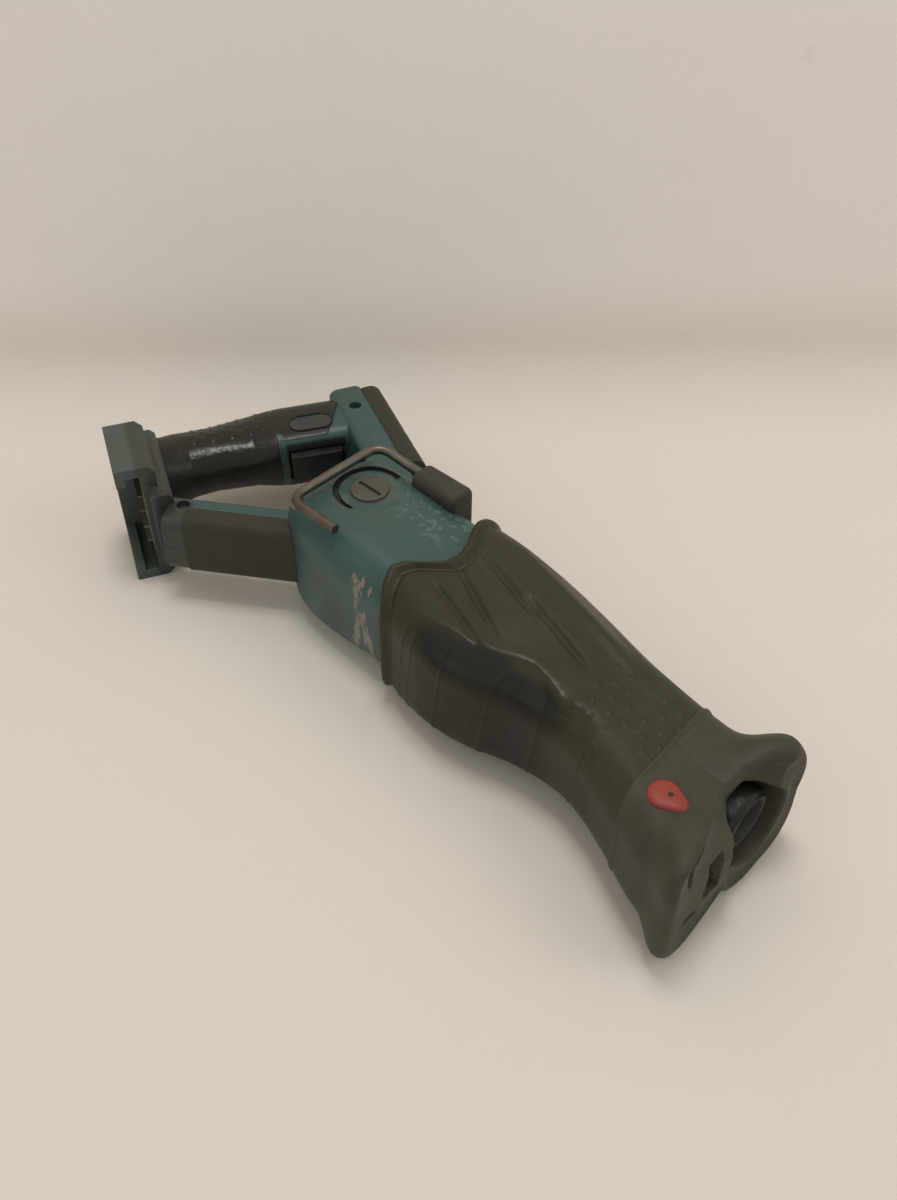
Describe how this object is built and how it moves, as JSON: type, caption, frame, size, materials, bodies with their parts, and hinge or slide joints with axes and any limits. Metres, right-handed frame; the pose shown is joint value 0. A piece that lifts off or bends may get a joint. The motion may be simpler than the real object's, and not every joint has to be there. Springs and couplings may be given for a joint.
{
  "type": "cordless reciprocating saw",
  "caption": "Bare cordless reciprocating saw with a D handle, rubber nose boot, wire hanging hook and twist blade clamp, lying on its left side.",
  "frame": {"origin": "bottom centre of the bounding box, on the plane the tool lies on", "axes": "+X from the battery foot to the blade end, +Y to the top of the tool, +Z to its right side, which faces up"},
  "size_m": [0.4136, 0.181, 0.0861],
  "materials": {
    "housing_shell": "satin",
    "grip_rubber": "soft grip",
    "pad_rubber": "matt",
    "boot_rubber": "worn matt",
    "bumper_plastic": "matt",
    "hook_wire": "dull bare wire",
    "screw_steel": "dull",
    "can_steel": "satin",
    "magnet": "matt",
    "brass_parts": "satin",
    "carbon": "matt",
    "spring_steel": "satin",
    "cap_plastic": "satin",
    "shaft_steel": "ground",
    "lamination": "matt",
    "copper": "satin",
    "fan_plastic": "matt",
    "gear_steel": "oiled",
    "bearing_steel": "polished",
    "cast_aluminium": "as cast",
    "bronze": "oiled",
    "seal_rubber": "matt",
    "clamp_steel": "blackened",
    "sleeve_plastic": "dusty",
    "flange_plastic": "dusty",
    "button_orange": "satin",
    "switch_plastic": "matt",
    "board": "coated",
    "trigger_plastic": "satin",
    "lock_plastic": "satin",
    "terminal_plastic": "matt"
  },
  "bodies": {
    "frame": {"housing_right": "housing_shell", "housing_left": "housing_shell", "grip_sleeve": "grip_rubber", "back_pad": "pad_rubber", "top_pad": "pad_rubber", "lower_pad": "pad_rubber", "rubber_boot": "boot_rubber", "top_bumper": "bumper_plastic", "housing_screws": "screw_steel", "case_screws": "screw_steel", "stator_can": "can_steel", "stator_magnets": "magnet", "brush_holders": "brass_parts", "carbon_brushes": "carbon", "brush_springs": "spring_steel", "trigger_spring": "spring_steel", "brush_cap_right": "cap_plastic", "brush_cap_left": "cap_plastic", "terminal_blades": "copper", "rear_motor_bearing": "bearing_steel", "front_motor_bearing": "bearing_steel", "gear_bearing": "bearing_steel", "bearing_plate": "cast_aluminium", "gear_case": "cast_aluminium", "rear_bush": "bronze", "front_bush": "bronze", "shaft_seal": "seal_rubber", "nose_flange": "flange_plastic", "switch_body": "switch_plastic", "control_board": "board", "terminal_block": "terminal_plastic"},
    "hook": {"wire_hook": "hook_wire"},
    "trigger": {"trigger": "trigger_plastic"},
    "lock_off": {"lock_off_button": "lock_plastic"},
    "armature": {"armature_shaft": "shaft_steel", "armature_core": "lamination", "armature_windings": "copper", "commutator": "copper", "cooling_fan": "fan_plastic", "motor_pinion": "gear_steel"},
    "crank": {"crank_gear": "gear_steel", "gear_shaft": "shaft_steel", "crank_pin": "shaft_steel"},
    "saw_shaft": {"saw_shaft": "shaft_steel", "clamp_body": "clamp_steel", "clamp_lock_pin": "shaft_steel", "clamp_spring": "spring_steel"},
    "clamp_sleeve": {"clamp_sleeve": "sleeve_plastic"},
    "shoe_lock": {"shoe_lock_button": "button_orange"}
  },
  "joints": [
    {"name": "hook_swing", "type": "hinge", "parent": "frame", "child": "hook", "pos_m": [-0.03218, 0.02396, 0.0805], "axis": [1, 0, 0], "range_deg": [-180, 0]},
    {"name": "trigger_pull", "type": "slide", "parent": "frame", "child": "trigger", "axis": [-0.866, 0.5, 0], "range_m": [0, 0.0055], "stiffness_N_per_m": 700, "springref_m": -0.004},
    {"name": "lock_off_push", "type": "slide", "parent": "frame", "child": "lock_off", "axis": [0, 0, 1], "range_m": [-0.003, 0], "stiffness_N_per_m": 500, "springref_m": 0.002},
    {"name": "armature_spin", "type": "hinge", "parent": "frame", "child": "armature", "pos_m": [-0.01618, -0.00554, 0.0395], "axis": [1, 0, 0], "continuous": true},
    {"name": "crank_spin", "type": "hinge", "parent": "frame", "child": "crank", "pos_m": [0.06582, 0.00346, 0.0395], "axis": [0, 1, 0], "continuous": true},
    {"name": "shaft_stroke", "type": "slide", "parent": "frame", "child": "saw_shaft", "axis": [1, 0, 0], "range_m": [-0.016, 0.016]},
    {"name": "clamp_twist", "type": "hinge", "parent": "saw_shaft", "child": "clamp_sleeve", "pos_m": [0.18582, -0.01654, 0.0395], "axis": [1, 0, 0], "range_deg": [0, 70], "stiffness_Nm_per_rad": 0.05, "springref_deg": -22.92},
    {"name": "shoe_release", "type": "slide", "parent": "frame", "child": "shoe_lock", "axis": [0, 0, 1], "range_m": [-0.003, 0], "stiffness_N_per_m": 900, "springref_m": 0.002}
  ],
  "couplings": [
    {"joint": "crank_spin", "follows": "armature_spin", "ratio": 0.2}
  ]
}
